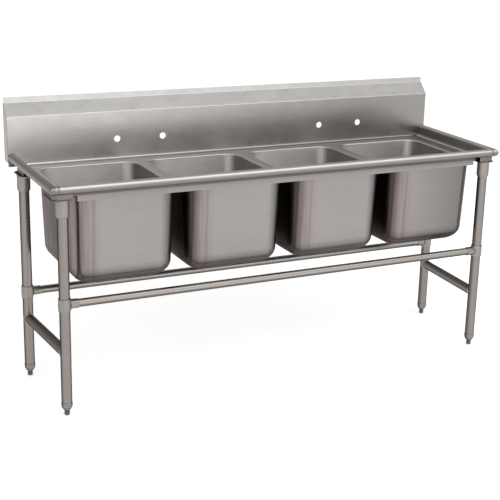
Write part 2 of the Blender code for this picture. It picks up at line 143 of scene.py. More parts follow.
def turned(profile, closed=True, steps=TUBE_STEPS):
    """Turned body about Z from (radius, z) pairs: a ring when closed, else with flat ends."""
    return skin([circle(r, z, steps) for r, z in profile], closed)


def arc(centre, radius, start, end, steps):
    """(a, b) points along an arc, angles in degrees."""
    for i in range(steps + 1):
        angle = math.radians(start + (end - start) * i / steps)
        yield centre[0] + radius * math.cos(angle), centre[1] + radius * math.sin(angle)


def rounded_outline(corners, radii):
    """A closed outline of (a, b) corners with each corner rounded to its own radius."""
    steps = 5
    points = []
    count = len(corners)
    for i, (corner, radius) in enumerate(zip(corners, radii)):
        here = Vector(corner)
        back = (Vector(corners[i - 1]) - here).normalized()
        ahead = (Vector(corners[(i + 1) % count]) - here).normalized()
        if radius <= 0:
            points.append(tuple(here))
            continue
        half = back.angle(ahead) / 2
        middle = here + (back + ahead).normalized() * (radius / math.sin(half))
        first = here + back * (radius / math.tan(half)) - middle
        last = here + ahead * (radius / math.tan(half)) - middle
        for k in range(steps + 1):
            points.append(tuple(middle + first.slerp(last, k / steps).normalized() * radius))
    return points


def lengthwise(outline, low_x, high_x):
    """A prism along X from an outline of (y, z) points."""
    return skin([[(x, y, z) for y, z in outline] for x in (low_x, high_x)])


def upright(outline, low_z, high_z):
    """A prism along Z from an outline of (x, y) points."""
    return skin([[(x, y, z) for x, y in outline] for z in (low_z, high_z)])


def ease_edges(bm, offset):
    """Bevels the sharp edges of a body."""
    sharp = [edge for edge in bm.edges if edge.calc_face_angle(0) > EASED_ANGLE]
    bmesh.ops.bevel(bm, geom=sharp, offset=offset, segments=2, affect="EDGES")


def rounded_rectangle(hx, hy, radius, z, centre=(0, 0)):
    """Points of a rectangle with half sides hx and hy and round corners."""
    points = []
    for quarter, (sx, sy) in enumerate(((1, 1), (-1, 1), (-1, -1), (1, -1))):
        for i in range(CORNER_STEPS + 1):
            angle = (quarter + i / CORNER_STEPS) * math.pi / 2
            points.append((centre[0] + sx * (hx - radius) + radius * math.cos(angle),
                           centre[1] + sy * (hy - radius) + radius * math.sin(angle), z))
    return points


def bead(path, radius, ripples, depth=0.12):
    """A weld bead with a rippled surface along a closed path of points."""
    steps = 8
    centre = sum(path, Vector()) / len(path)
    rings = []
    for i, point in enumerate(path):
        along = (path[(i + 1) % len(path)] - path[i - 1]).normalized()
        out = point - centre
        out = (out - along * out.dot(along)).normalized()
        side = along.cross(out)
        here = radius * (1 + depth * math.cos(TURN * ripples * i / len(path)))
        rings.append([point + out * here * math.cos(TURN * k / steps)
                      + side * here * math.sin(TURN * k / steps) for k in range(steps)])
    return skin(rings, closed=True)


def ring_bead(radius, z, bead_r, ripples):
    path = [Vector(point) for point in circle(radius, z, ripples * 4)]
    return bead(path, bead_r, ripples)


def merge(*parts):
    """One bmesh with the bodies of several."""
    whole = bmesh.new()
    for part in parts:
        scratch = bpy.data.meshes.new("scratch")
        part.to_mesh(scratch)
        part.free()
        whole.from_mesh(scratch)
        bpy.data.meshes.remove(scratch)
    return whole


def aim(bm, start, direction):
    """Turns a body built along +Z to a direction and moves it to its start."""
    turn = Vector((0, 0, 1)).rotation_difference(Vector(direction)).to_matrix().to_4x4()
    bm.transform(Matrix.Translation(Vector(start)) @ turn)
    return bm


def move(bm, offset):
    bm.transform(Matrix.Translation(Vector(offset)))
    return bm


def piece(name, bm, finishes, nodes=(), body="sink"):
    """Turns a bmesh into a shown piece that rides on a body and stands for its CAD nodes."""
    bmesh.ops.recalc_face_normals(bm, faces=bm.faces)
    mesh = bpy.data.meshes.new(name)
    bm.to_mesh(mesh)
    bm.free()
    for finish in finishes if isinstance(finishes, tuple) else (finishes,):
        mesh.materials.append(finish)
    mesh.shade_smooth()
    mesh.set_sharp_from_angle(angle=SMOOTH_ANGLE)
    obj = bpy.data.objects.new(name, mesh)
    bpy.context.scene.collection.objects.link(obj)
    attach(obj, body)
    if nodes:
        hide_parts(*nodes)
    return obj


def cut(obj, tool_bm):
    """Cuts a tool body away from a piece."""
    bmesh.ops.recalc_face_normals(tool_bm, faces=tool_bm.faces)
    mesh = bpy.data.meshes.new("tool")
    tool_bm.to_mesh(mesh)
    tool_bm.free()
    tool = bpy.data.objects.new("tool", mesh)
    bpy.context.scene.collection.objects.link(tool)
    modifier = obj.modifiers.new("cut", "BOOLEAN")
    modifier.operation = "DIFFERENCE"
    modifier.solver = "EXACT"
    modifier.object = tool
    bpy.context.view_layer.update()
    graph = bpy.context.evaluated_depsgraph_get()
    shaped = bpy.data.meshes.new_from_object(obj.evaluated_get(graph))
    obj.modifiers.clear()
    obj.data = shaped
    bpy.data.objects.remove(tool, do_unlink=True)
    shaped.shade_smooth()
    shaped.set_sharp_from_angle(angle=SMOOTH_ANGLE)


def centre_of(node):
    low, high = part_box(node)
    return (low + high) / 2


def axis_of(node):
    """Where a node's upright axis meets the floor."""
    middle = centre_of(node)
    return middle.x, middle.y, 0


# ---- materials -----------------------------------------------------------------------------
ALONG_X = (5, 900, 900)              # noise frequency of a grain along each axis
ALONG_Y = (900, 5, 900)
ALONG_Z = (900, 900, 5)
STAIN = (0.92, 0.88, 0.84)           # tint of the cloudy patches
ROUGHNESS_SPREAD = 0.07
PAINTED_SHADE_DARK = (0.05, 0.04, 0.035)      # painted shade on the outside of the bowls: between them, at their feet and down a corner line


def add(tree, kind, inputs=None, **settings):
    """A shader node with its settings, and its inputs linked or set."""
    made = tree.nodes.new(kind)
    for key, value in settings.items():
        setattr(made, key, value)
    for key, value in (inputs or {}).items():
        if isinstance(value, bpy.types.NodeSocket):
            tree.links.new(value, made.inputs[key])
        else:
            made.inputs[key].default_value = value
    return made


def new_material(name):
    """A material with its node tree and its shader."""
    material = bpy.data.materials.new(name)
    material.use_nodes = True
    return material, material.node_tree, material.node_tree.nodes["Principled BSDF"]


def maths(tree, operation, *values):
    """The result of an arithmetic node."""
    return add(tree, "ShaderNodeMath", dict(enumerate(values)), operation=operation).outputs[0]


def places(tree, kind="Object"):
    """X, Y and Z of places with kind Object, else of a direction: the surface's or the light's."""
    vector = add(tree, "ShaderNodeTexCoord").outputs[kind]
    split = add(tree, "ShaderNodeSeparateXYZ", {"Vector": vector})
    return tuple(split.outputs)


def noise(tree, vector, scale, detail=3.0, roughness=0.55):
    made = add(tree, "ShaderNodeTexNoise", {
        "Vector": vector, "Scale": scale, "Detail": detail, "Roughness": roughness})
    return made.outputs["Fac"]


def remap(tree, value, low, high, from_low=0.3, from_high=0.7):
    """Low up to from_low, high from from_high on, and an even rise or fall between them."""
    made = add(tree, "ShaderNodeMapRange", {
        "Value": value, "From Min": from_low, "From Max": from_high,
        "To Min": low, "To Max": high})
    return made.outputs["Result"]


def mixed(tree, factor, first, second):
    """The first colour where the factor is 0 and the second where it is 1."""
    made = add(tree, "ShaderNodeMix", data_type="RGBA")
    tree.links.new(factor, made.inputs["Factor"])
    for socket, value in ((made.inputs[6], first), (made.inputs[7], second)):
        if isinstance(value, bpy.types.NodeSocket):
            tree.links.new(value, socket)
        else:
            socket.default_value = (*value, 1)
    return made.outputs[2]


def tinted(colour, factor):
    return tuple(min(1.0, channel * factor) for channel in colour)


def steel(name, colour, roughness, grain, grain_depth=0.00004, wave_depth=0.0, edge=1.0):
    """Brushed metal: grain is the noise frequency along each axis, low along the brushing."""
    material, tree, shader = new_material(name)
    shader.inputs["Metallic"].default_value = 1.0
    shader.inputs["Specular Tint"].default_value = (edge, edge, edge, 1)
    place = add(tree, "ShaderNodeTexCoord").outputs["Object"]
    along = add(tree, "ShaderNodeMapping", {"Vector": place, "Scale": grain}).outputs["Vector"]
    lines = noise(tree, along, 1.0, 5.0, 0.7)
    cloud = noise(tree, place, 3.1, 3.0)
    smear = noise(tree, place, 21.0, 4.0, 0.6)
    brushed = mixed(tree, remap(tree, lines, 0, 1), tinted(colour, 0.93), tinted(colour, 1.06))
    dull = tuple(channel * stain for channel, stain in zip(colour, STAIN))
    shaded = mixed(tree, remap(tree, cloud, 0, 0.55, 0.42, 0.75), brushed, dull)
    tree.links.new(shaded, shader.inputs["Base Color"])
    rough = remap(tree, lines, roughness - ROUGHNESS_SPREAD, roughness + ROUGHNESS_SPREAD)
    cloudy = remap(tree, smear, -0.035, 0.05)
    tree.links.new(maths(tree, "ADD", rough, cloudy), shader.inputs["Roughness"])
    grooves = add(tree, "ShaderNodeBump", {
        "Height": lines, "Strength": 1.0, "Distance": grain_depth})
    normal = grooves.outputs["Normal"]
    if wave_depth:
        stretched = add(tree, "ShaderNodeMapping", {"Vector": place, "Scale": (0.7, 1, 1.6)})
        wave = noise(tree, stretched.outputs["Vector"], 2.2, 2.0, 0.4)
        waves = add(tree, "ShaderNodeBump", {
            "Height": wave, "Strength": 1.0, "Distance": wave_depth, "Normal": normal})
        normal = waves.outputs["Normal"]
    tree.links.new(normal, shader.inputs["Normal"])
    return material


def rubber():
    """Matt black rubber with fine pits."""
    material, tree, shader = new_material("black_rubber")
    place = add(tree, "ShaderNodeTexCoord").outputs["Object"]
    fleck = noise(tree, place, 900.0, 4.0)
    tree.links.new(mixed(tree, fleck, (0.018, 0.018, 0.018), (0.05, 0.05, 0.048)),
                   shader.inputs["Base Color"])
    tree.links.new(remap(tree, fleck, 0.7, 0.9), shader.inputs["Roughness"])
    pits = add(tree, "ShaderNodeBump", {"Height": fleck, "Strength": 0.6, "Distance": 0.0002})
    tree.links.new(pits.outputs["Normal"], shader.inputs["Normal"])
    return material


def product(tree, first, second):
    return maths(tree, "MULTIPLY", first, second)


def magnitude(tree, value, centre=0.0):
    """How far a value is from a centre, on either side."""
    return maths(tree, "ABSOLUTE", maths(tree, "SUBTRACT", value, centre))


def across_bowl(tree, x):
    """Place across a bowl, 0 to 1 from the divider on its left to the one on its right."""
    return maths(tree, "FRACT", maths(tree, "MULTIPLY_ADD", x, 1 / BOWL_PITCH, len(BOWL_NUMBERS) / 2))


def recolour(tree, factor, colour):
    """Covers the shader's base colour with another one by a factor."""
    socket = tree.nodes["Principled BSDF"].inputs["Base Color"]
    tree.links.new(mixed(tree, factor, socket.links[0].from_socket, colour), socket)


def bowl_inside():
    """Satin inside, painted far lighter than the outside of the same sheet, with painted shade near the mouth
    on the right wall.
    """
    material = steel("bowl_inside", (0.95, 0.94, 0.92), 0.40, (9, 9, 700), wave_depth=0.002)
    tree = material.node_tree
    x, _, height = places(tree)
    # Painted shade on the upper part of each bowl's right wall.
    right = remap(tree, across_bowl(tree, x), 0, 0.84, 0.885, 0.925)
    upper = remap(tree, height, 0, 1, DECK_Z - 0.20, DECK_Z - 0.11)
    recolour(tree, product(tree, right, upper), (0.14, 0.12, 0.11))
    return material


def bowl_outside():
    """Satin steel, a darker copy of the inside's sheet for painted shade, with more painted shade in brown
    streaks toward each left corner, down a line on that corner, toward the top, the bottom and the right end,
    and where two bowls face each other; a narrow darker band runs down each face.
    """
    material = steel("bowl_outside", (0.33, 0.312, 0.302), 0.34, (9, 9, 700), wave_depth=0.003, edge=0.5)
    tree = material.node_tree
    x, _, height = places(tree)
    share = across_bowl(tree, x)
    place = add(tree, "ShaderNodeTexCoord").outputs["Object"]
    # Painted shade toward each bowl's left corner, broken into brown streaks.
    streaks = add(tree, "ShaderNodeMapping", {"Vector": place, "Scale": (85, 85, 2.5)})
    streak = remap(tree, noise(tree, streaks.outputs["Vector"], 1.0, 3.0), 0.55, 1, 0.4, 0.62)
    corner = remap(tree, share, 0.85, 0, 0.13, 0.30)
    recolour(tree, product(tree, streak, corner), (0.20, 0.155, 0.145))
    band = remap(tree, magnitude(tree, share, 0.222), 0.38, 0, 0.0, 0.022)
    recolour(tree, band, (0.16, 0.115, 0.105))
    # Painted shade: a dark line down the rounded left corner.
    line = remap(tree, magnitude(tree, share, 0.099), 0.9, 0, 0.004, 0.011)
    recolour(tree, line, PAINTED_SHADE_DARK)
    # Painted shade toward the right end of the sink.
    recolour(tree, remap(tree, x, 0, 0.7, 0.55, 0.90), (0.13, 0.12, 0.115))
    # Painted shade toward the bottom, toward the top under the rim, and in a dark band at the foot of the
    # walls.
    recolour(tree, remap(tree, height, 0.16, 0, BOWL_FLOOR_Z + 0.04, DECK_Z - 0.10), (0.12, 0.105, 0.095))
    recolour(tree, remap(tree, height, 0, 0.22, DECK_Z - 0.22, DECK_Z - 0.02), (0.16, 0.15, 0.145))
    recolour(tree, remap(tree, height, 0.93, 0, BOWL_FLOOR_Z + 0.008, BOWL_FLOOR_Z + 0.075), PAINTED_SHADE_DARK)
    # Painted shade where two bowls face each other: the left walls of all but the first bowl and the right
    # walls of all but the last.
    left_turn = remap(tree, share, 1, 0, 0.078, 0.165)
    left_hidden = remap(tree, x, 0, 1, -0.72, -0.70)
    recolour(tree, product(tree, left_turn, left_hidden), PAINTED_SHADE_DARK)
    right_turn = remap(tree, share, 0, 0.94, 0.80, 0.935)
    right_hidden = remap(tree, x, 1, 0, 0.70, 0.72)
    recolour(tree, product(tree, right_turn, right_hidden), (0.035, 0.028, 0.024))
    return material


def splash_sheet():
    """The sheet of the backsplash, with painted light on the slanted band and the edge above it, and painted
    shade toward its right end.
    """
    material = steel("splash_sheet_steel", (0.62, 0.595, 0.575), 0.33, ALONG_X, wave_depth=0.004)
    tree = material.node_tree
    across, _, height = places(tree)
    bend, lip = SPLASH_BEND_Z, SLANT_TOP_Z
    # Painted shade toward the right end, here and in the last line.
    recolour(tree, remap(tree, across, 0, 0.8, -1.0, 0.6), (0.24, 0.23, 0.225))
    # Painted light on the slanted band and the upright edge above it, less on the edge.
    recolour(tree, remap(tree, height, 0, 1, bend - 0.002, bend + 0.001), (0.80, 0.785, 0.77))
    recolour(tree, remap(tree, height, 0, 0.6, lip - 0.001, lip + 0.001), (0.42, 0.41, 0.40))
    recolour(tree, remap(tree, across, 0, 0.3, -0.8, 1.0), (0.28, 0.27, 0.265))
    return material


def top_sheet():
    """The sheet of the sink top, with painted shade inside the side rims, below the front roll and on the
    left roll.
    """
    material = steel("top_sheet_steel", (0.60, 0.575, 0.555), 0.33, ALONG_X, wave_depth=0.004, edge=0.7)
    tree = material.node_tree
    x, y, z = places(tree)
    _, facing, _ = places(tree, "Normal")
    # Painted shade on the inner walls of the side rims, above the deck.
    distance = magnitude(tree, x)
    wall = product(tree, remap(tree, distance, 0, 1, RIM_WALL_X - 0.008, RIM_WALL_X - 0.002),
                   remap(tree, distance, 1, 0, RIM_WALL_X + 0.002, RIM_WALL_X + 0.005))
    height = remap(tree, z, 0, 0.75, DECK_Z + 0.006, DECK_Z + 0.013)
    recolour(tree, product(tree, wall, height), (0.17, 0.155, 0.145))
    # Painted shade on the front of the roll below its top, and in the crease at its foot.
    front = product(tree, remap(tree, y, 1, 0, RIM_WALL_Y + 0.010, RIM_WALL_Y + 0.016),
                    remap(tree, facing, 1, 0, -0.1, 0.1))
    below = remap(tree, z, 0.8, 0, RIM_Z - 0.016, RIM_Z - 0.010)
    recolour(tree, product(tree, front, below), (0.13, 0.12, 0.112))
    crevice = remap(tree, z, 0.9, 0, RIM_Z - 2 * ROLL_R - 0.001, RIM_Z - 2 * ROLL_R + 0.002)
    recolour(tree, product(tree, front, crevice), (0.12, 0.11, 0.104))
    # Painted shade on the left roll.
    left_roll = remap(tree, x, 0.75, 0, -RIM_WALL_X - 0.012, -RIM_WALL_X - 0.004)
    recolour(tree, left_roll, (0.20, 0.18, 0.17))
    return material


def channel_sheet():
    """The front channel's face, a darker copy of the top's sheet for painted shade, with more painted shade
    towards the rim above it.
    """
    material = steel("channel_steel", (0.30, 0.283, 0.272), 0.33, ALONG_X, wave_depth=0.004, edge=0.5)
    tree = material.node_tree
    _, _, height = places(tree)
    # Painted shade rising towards the rim, and a dark strip at the top edge under the roll.
    recolour(tree, remap(tree, height, 0, 0.6, CHANNEL_LOW.z, CHANNEL_HIGH.z), (0.14, 0.128, 0.12))
    edge = remap(tree, height, 0, 0.9, CHANNEL_HIGH.z - 0.004, CHANNEL_HIGH.z - 0.001)
    recolour(tree, edge, (0.15, 0.137, 0.13))
    return material


def cast_steel():
    """Sockets and fittings, with painted shade on the front plates under the rim."""
    material = steel("cast_steel", (0.30, 0.28, 0.265), 0.38, (260, 260, 260), 0.0002, edge=0.4)
    tree = material.node_tree
    _, y, z = places(tree)
    # Painted shade on the front sockets' plates, under the rim.
    high = remap(tree, z, 0, 0.8, PLATE_Z - 0.004, PLATE_Z)
    front = remap(tree, y, 1, 0, -0.05, 0.0)
    recolour(tree, product(tree, high, front), (0.17, 0.145, 0.13))
    return material


def upright_tube():
    """Polished tube, with painted shade on the sides turned from the front and on its right side."""
    material = steel("upright_tube_steel", (0.26, 0.24, 0.228), 0.26, ALONG_Z, edge=0.1)
    tree = material.node_tree
    to_right, to_wall, _ = places(tree, "Normal")
    # Painted shade by which way the surface faces.
    recolour(tree, remap(tree, to_wall, 0, 0.75, -0.72, -0.30), (0.075, 0.066, 0.061))
    recolour(tree, remap(tree, to_right, 0, 0.6, 0.45, 0.8), (0.07, 0.062, 0.057))
    return material


def long_tube(node):
    """Polished tube, with painted shade underneath."""
    material = steel(node + "_steel", (0.37, 0.345, 0.33), 0.26, ALONG_X, edge=0.4)
    tree = material.node_tree
    _, _, height = places(tree)
    centre = centre_of(node).z
    # Painted shade on the underside.
    recolour(tree, remap(tree, height, 0.85, 0, centre - 0.006, centre + 0.002), (0.10, 0.09, 0.08))
    return material


def weld_metal():
    """Weld beads with a straw and brown heat tint."""
    material = steel("weld_metal", (0.50, 0.47, 0.44), 0.36, (60, 60, 60), 0.0002)
    tree = material.node_tree
    place = add(tree, "ShaderNodeTexCoord").outputs["Object"]
    recolour(tree, remap(tree, noise(tree, place, 34.0, 3.0), 0, 0.7, 0.4, 0.7), (0.34, 0.26, 0.19))
    return material


SIDE_SHEET_STEEL = steel("side_sheet_steel", (0.34, 0.325, 0.315), 0.34, ALONG_Y)
TOP_STEEL = top_sheet()
SPLASH_STEEL = splash_sheet()
CHANNEL_STEEL = channel_sheet()
BOWL_INSIDE = bowl_inside()
BOWL_OUTSIDE = bowl_outside()
# Legs, long rails and side rails are one tube stock given different tones as painted shade, darkest on the
# side rails.
UPRIGHT_TUBE_STEEL = upright_tube()
LONG_TUBE_STEEL = {row: long_tube(row + "_rail") for row in ("front", "rear")}
SIDE_TUBE_STEEL = steel("side_tube_steel", (0.22, 0.205, 0.195), 0.30, ALONG_Y, edge=0.3)
CAST_STEEL = cast_steel()
SCREW_STEEL = steel("screw_steel", (0.20, 0.20, 0.21), 0.42, (500, 500, 500), 0.0001)
DRAIN_STEEL = steel("drain_steel", (0.62, 0.61, 0.60), 0.18, (120, 120, 900), 0.00003)
ZINC = steel("zinc_plate", (0.46, 0.46, 0.47), 0.45, (400, 400, 400), 0.0002)
FOOT_STEEL = steel("foot_steel", (0.13, 0.13, 0.13), 0.36, (220, 220, 900), 0.0001)
GASKET_RUBBER = rubber()
WELD_METAL = weld_metal()


# ---- sink top ------------------------------------------------------------------------------
def rim_section():
    """Cove, rim wall and rolled edge as (outward, up) from the deck's edge, out and back."""
    roll_z = RIM_Z - DECK_Z - ROLL_R
    inside = list(arc((-COVE_R, COVE_R), COVE_R, -90, 0, 8))
    inside += arc((ROLL_R, roll_z), ROLL_R, 180, -112.5, 39)
    outside = list(arc((ROLL_R, roll_z), ROLL_R - SHEET, -112.5, 180, 39))
    outside += arc((-COVE_R, COVE_R), COVE_R + SHEET, 0, -90, 8)
    return inside + outside


def rim_stations():
    """The rim's section at both rear ends and round both front corners."""
    section = rim_section()
    rear_y = TOP_HIGH.y
    stations = []
    for side in (-1, 1):
        end = [(side * (RIM_WALL_X + u), rear_y, DECK_Z + h) for u, h in section]
        corner = []
        for i in range(7):
            angle = math.pi / 2 * i / 6
            ring = []
            for u, h in section:
                radius = MITRE_R + 0.12 * (u + COVE_R)
                x = RIM_WALL_X + u - radius + radius * math.cos(angle)
                y = RIM_WALL_Y - u + radius - radius * math.sin(angle)
                ring.append((side * x, y, DECK_Z + h))
            corner.append(ring)
        stations += [end] + corner if side < 0 else corner[::-1] + [end]
    return stations


def bowl_mouth(number):
    """Centre and half sizes of a bowl's opening."""
    low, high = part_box("bowl_%d" % number)
    centre = (low + high) / 2
    return (centre.x, centre.y), (high.x - low.x) / 2 - BOWL_FLANGE, (high.y - low.y) / 2 - BOWL_FLANGE


def lip_rows():
    """Rounded lip of an opening as (outward, z): over the bend, round its edge and back under."""
    inner = LIP_R - SHEET
    rows = [(LIP_R + 0.002, DECK_Z)]
    rows += arc((LIP_R, DECK_Z - LIP_R), LIP_R, 90, 180, 6)
    rows += [(0, LIP_END_Z), (SHEET, LIP_END_Z)]
    rows += arc((LIP_R, DECK_Z - LIP_R), inner, 180, 90, 6)
    return rows + [(LIP_R + 0.002, DECK_Z - SHEET)]


def make_sink_top():
    bm = bmesh.new()
    stations = [[bm.verts.new(p) for p in ring] for ring in rim_stations()]
    for near, far in zip(stations, stations[1:]):
        for i in range(len(near) - 1):
            bm.faces.new((near[i], near[i + 1], far[i + 1], far[i]))
    bm.faces.new(stations[0] + stations[-1][::-1])
    borders = {0: [ring[0] for ring in stations], -1: [ring[-1] for ring in stations]}
    edges = {}
    for key, border in borders.items():
        loop = border + [border[0]]
        edges[key] = [bm.edges.get(pair) or bm.edges.new(pair) for pair in zip(loop, loop[1:])]
    for number in BOWL_NUMBERS:
        centre, hx, hy = bowl_mouth(number)
        rows = [[bm.verts.new(p) for p in rounded_rectangle(
            hx + out, hy + out, BOWL_CORNER_R + out, z, centre=centre)] for out, z in lip_rows()]
        for low, high in zip(rows, rows[1:]):
            for i in range(len(low)):
                j = (i + 1) % len(low)
                bm.faces.new((low[i], low[j], high[j], high[i]))
        for key in (0, -1):
            edges[key] += [bm.edges.get((a, b)) for a, b in zip(rows[key], rows[key][1:] + rows[key][:1])]
    for key in (0, -1):
        bmesh.ops.triangle_fill(bm, edges=edges[key], use_beauty=True, normal=(0, 0, 1))
    piece("sink_top_look", bm, TOP_STEEL, ["sink_top"])


def make_front_channel():
    """Stiffener whose face closes the bend under the rim, with a flange under the deck."""
    face, inner, top = CHANNEL_LOW.y, CHANNEL_LOW.y + SHEET, UNDER_DECK_Z
    outline = rounded_outline(
        [(face, CHANNEL_LOW.z), (face, CHANNEL_HIGH.z), (inner, CHANNEL_HIGH.z - 0.005), (inner, top),
         (CHANNEL_HIGH.y, top), (CHANNEL_HIGH.y, top - SHEET), (inner, top - SHEET),
         (inner, CHANNEL_LOW.z)],
        [0.0005, 0.0002, 0.0002, 0.0006, 0.0004, 0.0004, 0.0015, 0.0005])
    bm = lengthwise(outline, CHANNEL_LOW.x, CHANNEL_HIGH.x)
    piece("front_channel_look", bm, CHANNEL_STEEL, ["front_channel"])


# ---- backsplash ----------------------------------------------------------------------------
def make_backsplash():
    """One bent sheet with a cove at its foot, a slanted band, an upright edge and four holes."""
    run = SHEET * math.tan(math.radians(22.5))
    front_y, back_y = SPLASH_FACE_Y, SPLASH_FACE_Y + SHEET
    foot_z = DECK_Z + GAP
    cove = list(arc((front_y - SPLASH_COVE_R, foot_z + SPLASH_COVE_R), SPLASH_COVE_R, -90, 0, 8))
    body = rounded_outline(
        [(front_y, SPLASH_BEND_Z), (WALL_Y - SHEET, SLANT_TOP_Z), (WALL_Y - SHEET, SPLASH_HIGH.z),
         (WALL_Y, SPLASH_HIGH.z), (WALL_Y, SLANT_TOP_Z - run), (back_y, SPLASH_BEND_Z - run),
         (back_y, SPLASH_LOW.z), (front_y, SPLASH_LOW.z)],
        [BEND_R, BEND_R, 0.0004, 0.0004, BEND_R + SHEET, BEND_R + SHEET, 0.0003, 0.0003])
    outline = cove + body + [(front_y, foot_z)]
    half = SPLASH_HIGH.x
    splash = piece("backsplash_look", lengthwise(outline, -half, half), SPLASH_STEEL,
                   ["backsplash"])
    holes = []
    for pair in FAUCET_PAIRS_X:
        for side in (-FAUCET_HALF, FAUCET_HALF):
            start = (pair + side, SPLASH_FACE_Y - 0.01, FAUCET_Z)
            holes.append(aim(turned([(FAUCET_HOLE_R, 0), (FAUCET_HOLE_R, 0.02)], False), start, (0, 1, 0)))
    cut(splash, merge(*holes))


def make_end_caps():
    for label in ("left", "right"):
        node = "splash_end_cap_" + label
        low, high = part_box(node)
        outline = rounded_outline(
            [(low.y, low.z), (low.y, SPLASH_BEND_Z), (high.y, SLANT_TOP_Z + SHEET), (high.y, low.z)],
            [0.002, 0.002, 0.001, 0.002])
        bm = lengthwise(outline, low.x, high.x)
        ease_edges(bm, 0.0004)
        piece(node + "_look", bm, SIDE_SHEET_STEEL, [node])


# ---- bowls ---------------------------------------------------------------------------------
def bowl_section():
    """Inside of a bowl as (inset, z, angle), from its mouth to the foot of its walls."""
    top_z = LIP_END_Z - GAP
    floor_z = BOWL_FLOOR_Z + 0.003
    drop = UNDER_DECK_Z - floor_z - BOWL_EDGE_R * (1 - math.sin(BOWL_TAPER))
    inset = drop * math.tan(BOWL_TAPER)
    rows = []
    for i in range(5):
        z = top_z + (UNDER_DECK_Z - drop - top_z) * i / 5
        rows.append(((UNDER_DECK_Z - z) * math.tan(BOWL_TAPER), z, BOWL_TAPER))
    for i in range(13):
        angle = BOWL_TAPER + (math.pi / 2 - BOWL_TAPER) * i / 12
        rows.append((inset + BOWL_EDGE_R * (math.cos(BOWL_TAPER) - math.cos(angle)),
                     UNDER_DECK_Z - drop - BOWL_EDGE_R * (math.sin(angle) - math.sin(BOWL_TAPER)), angle))
    return rows


def bowl_ring(hx, hy, inset, z):
    return rounded_rectangle(hx - inset, hy - inset, BOWL_CORNER_R - CORNER_SHRINK * inset, z)


def make_bowl(number):
    centre, hx, hy = bowl_mouth(number)
    section = bowl_section()
    low_z = BOWL_FLOOR_Z - DRAIN_RECESS
    dish = [(DRAIN_FLANGE_R + 0.006, BOWL_FLOOR_Z), (DRAIN_FLANGE_R + 0.0048, BOWL_FLOOR_Z - 0.0005),
            (DRAIN_FLANGE_R + 0.0016, low_z + 0.0005), (DRAIN_FLANGE_R + 0.0004, low_z),
            (DRAIN_HOLE_R, low_z)]

    def side(depth):
        walls = [bowl_ring(hx, hy, inset - depth * math.cos(angle), z - depth * math.sin(angle))
                 for inset, z, angle in section]
        edge, rim = walls[-1], rounded_rectangle(dish[0][0], dish[0][0], dish[0][0], dish[0][1] - depth)
        floor = []
        for i in range(1, 6):
            share = i / 6
            floor.append([tuple(Vector(a).lerp(Vector(b), share)) for a, b in zip(edge, rim)])
        recess = [rounded_rectangle(r, r, r, z - depth) for r, z in dish]
        return walls + floor + recess

    inside = side(0)
    bm = skin(inside + side(SHEET)[::-1], closed=True)
    bm.faces.ensure_lookup_table()
    for face in bm.faces[len(inside) * len(inside[0]):]:
        face.material_index = 1
    piece("bowl_%d_look" % number, move(bm, (*centre, 0)), (BOWL_INSIDE, BOWL_OUTSIDE),
          ["bowl_%d" % number])


# ---- drains --------------------------------------------------------------------------------
def threaded(radius, high, low):
    """(radius, z) pairs down the outside of a threaded length."""
    depth = 0.0007
    count = int((high - low) / THREAD_PITCH)
    rows = []
    for i in range(count):
        z = high - i * THREAD_PITCH
        rows += [(radius - depth, z), (radius, z - 0.4 * THREAD_PITCH), (radius, z - 0.6 * THREAD_PITCH)]
    return rows


